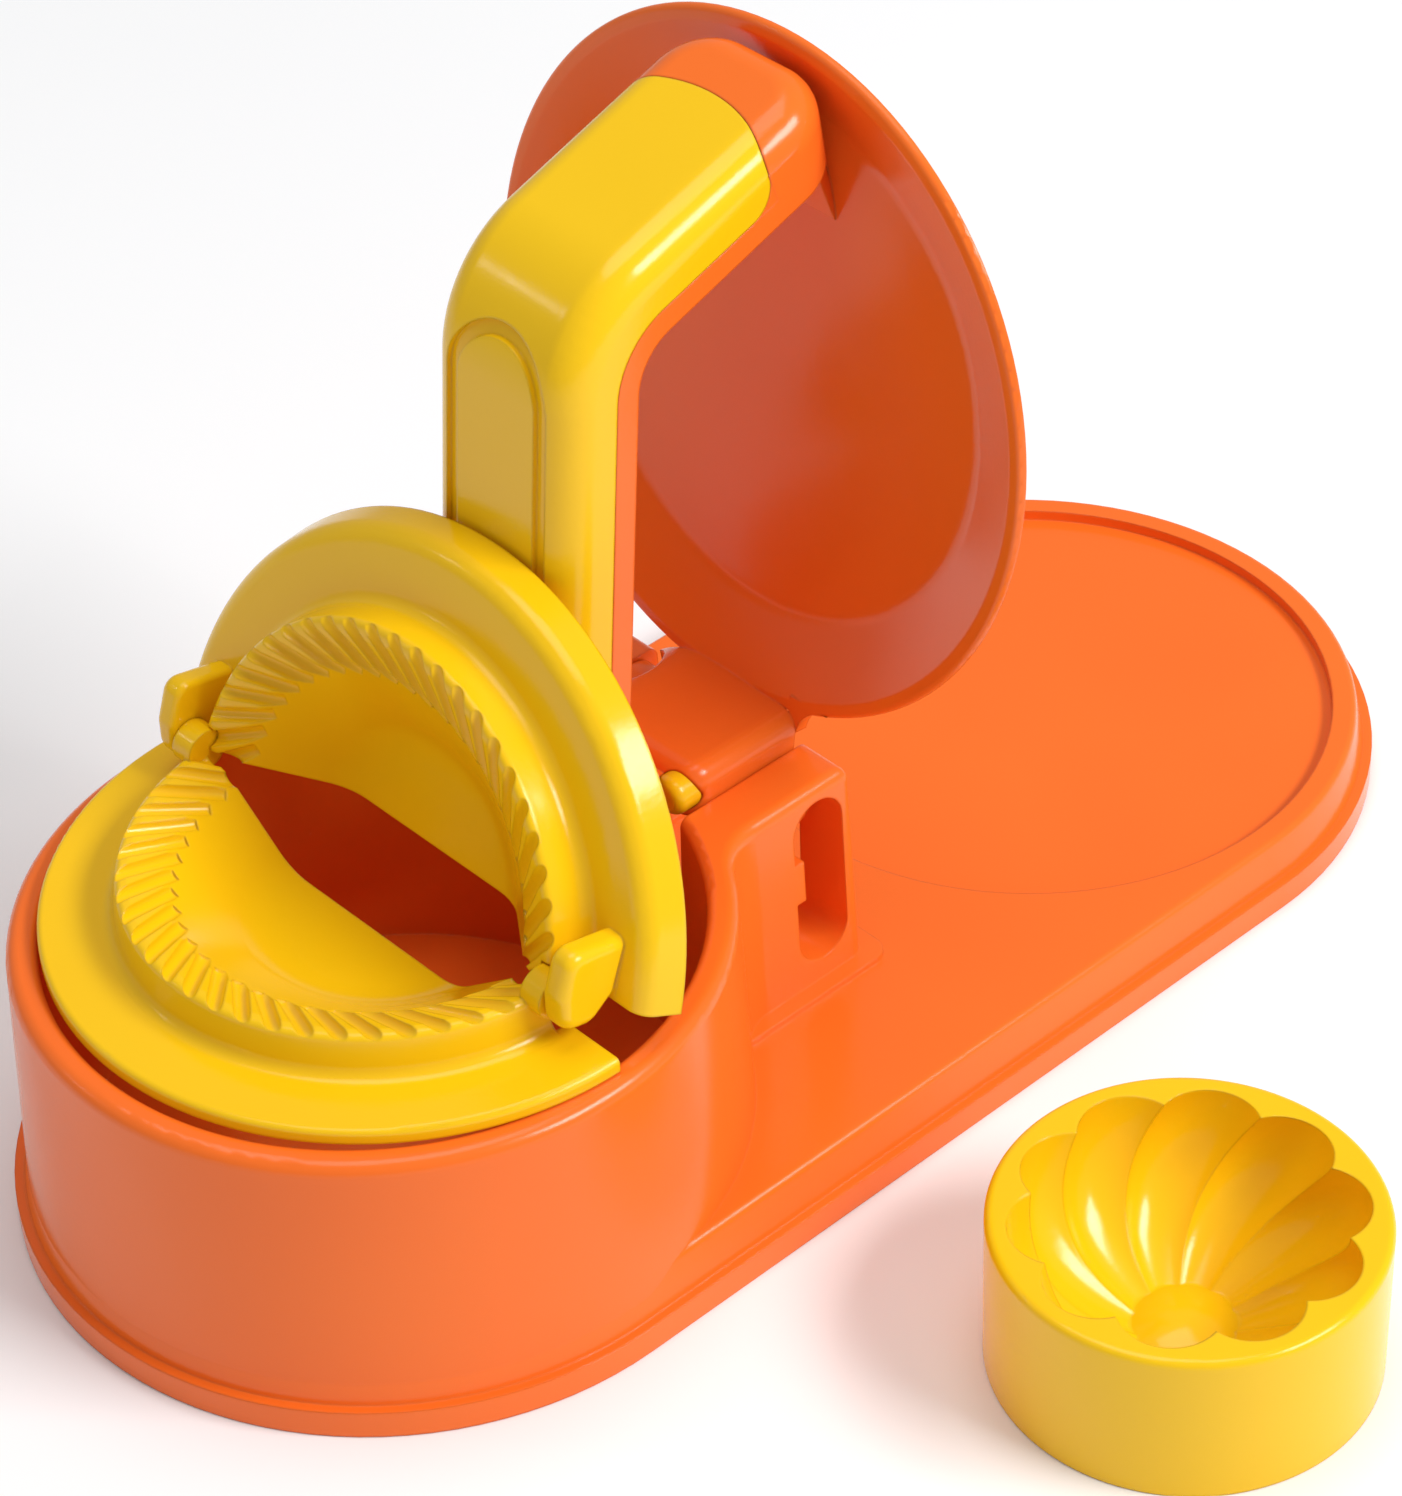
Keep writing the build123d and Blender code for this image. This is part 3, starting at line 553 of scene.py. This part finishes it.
def make_raised_half():
    """The raised half with its ears as soft paddles round the stubs."""
    half = copy_node("rear_mould_half_shape", "rear_mould_half")
    (start, end), (low, high) = EAR_CUT_OUT, EAR_CUT_UP
    around = [half_place(*point) for point in ((start, low), (end, low), (end, high), (start, high))]
    stub = [half_place(*point) for point in circle((0, 0), BORE_RADIUS, BORE_STEPS)]
    outline = rounded(EAR_CORNERS, EAR_CORNER_STEPS)
    for side in (1, -1):
        combine(half, prism("ear_cut", around, side * EAR_BACK, side * EAR_CUT_FRONT), "DIFFERENCE")
        paddle = ear_paddle(side, outline)
        combine(paddle, prism("ear_bore", stub, side * BORE_START, side * BORE_END), "DIFFERENCE")
        combine(half, paddle, "UNION")
    return half


def make_pin():
    """Hinge pin whose ends sit inside the cheeks."""
    edge = quarter_round(PIN_ROUND, PIN_ROUND_STEPS)
    round_end = [(PIN_END - PIN_ROUND + rise, PIN_RADIUS - inset) for inset, rise in edge]
    stations = [(-y, radius) for y, radius in reversed(round_end)] + round_end
    rings = [[(x, y, z) for x, z in circle(PIN_CENTRE, radius, PIN_STEPS)] for y, radius in stations]
    return loft("hinge_pin_shape", rings)


def dress(nodes, material):
    """Give CAD nodes a material in every slot."""
    for name in nodes:
        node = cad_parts[name]
        if not node.material_slots:
            node.data.materials.append(material)
        for slot in node.material_slots:
            slot.material = material


def add_camera():
    """Camera turned by azimuth, elevation and roll."""
    angles = (CAMERA_AZIMUTH, CAMERA_ELEVATION, CAMERA_ROLL)
    azimuth, elevation, roll = (math.radians(angle) for angle in angles)
    level_forward = Vector((math.cos(azimuth), math.sin(azimuth), 0))
    forward = math.cos(elevation) * level_forward - math.sin(elevation) * Vector((0, 0, 1))
    level_right = forward.cross(Vector((0, 0, 1))).normalized()
    level_up = level_right.cross(forward)
    right = math.cos(roll) * level_right + math.sin(roll) * level_up
    up = -math.sin(roll) * level_right + math.cos(roll) * level_up
    data = bpy.data.cameras.new("camera")
    data.lens = CAMERA_LENS_MM
    data.clip_end = CAMERA_FAR
    camera = bpy.data.objects.new("camera", data)
    bpy.context.scene.collection.objects.link(camera)
    turn = Matrix((right, up, -forward)).transposed()
    camera.matrix_world = Matrix.Translation(CAMERA_PLACE) @ turn.to_4x4()
    bpy.context.scene.camera = camera


def add_area(name, place, size, power):
    """Lamp of a rectangle's shape, turned to the middle of the object."""
    data = bpy.data.lights.new(name, "AREA")
    data.shape = "RECTANGLE"
    data.size, data.size_y = size
    data.energy = power
    lamp = bpy.data.objects.new(name, data)
    lamp.location = place
    aim = Vector(LAMP_TARGET) - Vector(place)
    lamp.rotation_euler = aim.to_track_quat("-Z", "Y").to_euler()
    bpy.context.scene.collection.objects.link(lamp)


def add_world():
    """Even pale light."""
    world = bpy.data.worlds.new("studio")
    bpy.context.scene.world = world
    world.use_nodes = True
    tree = world.node_tree
    tree.nodes.clear()
    output = tree.nodes.new("ShaderNodeOutputWorld")
    light = tree.nodes.new("ShaderNodeBackground")
    light.inputs["Color"].default_value = WORLD_COLOUR
    light.inputs["Strength"].default_value = WORLD_STRENGTH
    tree.links.new(light.outputs["Background"], output.inputs["Surface"])


def add_floor():
    """Plain white floor just under the object."""
    mesh = bpy.data.meshes.new("floor")
    half = FLOOR_HALF_WIDTH
    corners = [(-half, -half, 0), (half, -half, 0), (half, half, 0), (-half, half, 0)]
    mesh.from_pydata(corners, [], [(0, 1, 2, 3)])
    floor = bpy.data.objects.new("floor", mesh)
    bpy.context.scene.collection.objects.link(floor)
    material, tree, shader = new_material("floor_white")
    coords = tree.nodes.new("ShaderNodeTexCoord").outputs["Object"]
    shade = ramp(tree, noise(tree, coords, FLOOR_PATCH_SCALE), FLOOR_WHITE, FLOOR_BRIGHT)
    tree.links.new(shade, shader.inputs["Base Color"])
    shader.inputs["Roughness"].default_value = FLOOR_ROUGHNESS
    floor.data.materials.append(material)
    floor.location.z = -FLOOR_DROP


orange = plastic("orange_plastic", ORANGE, ORANGE_SHIFT, ORANGE_ROUGHNESS)
yellow = plastic("yellow_plastic", YELLOW, YELLOW_SHIFT, YELLOW_ROUGHNESS)
dress(["base_housing", "press_lid", "hinge_pin"], orange)
dress(["grip_cover", "push_peg", "front_mould_half", "rear_mould_half", "flower_mould"], yellow)

finish_shape(make_lid(), orange, "lid", "press_lid")
finish_shape(make_cover(), yellow, "lid", "grip_cover")
finish_shape(make_raised_half(), yellow, "rear_half", "rear_mould_half")
finish_shape(make_pin(), orange, "pin", "hinge_pin")

add_camera()
add_world()
add_floor()
for lamp in LAMPS:
    add_area(*lamp)

bpy.context.scene.view_settings.view_transform = "Standard"
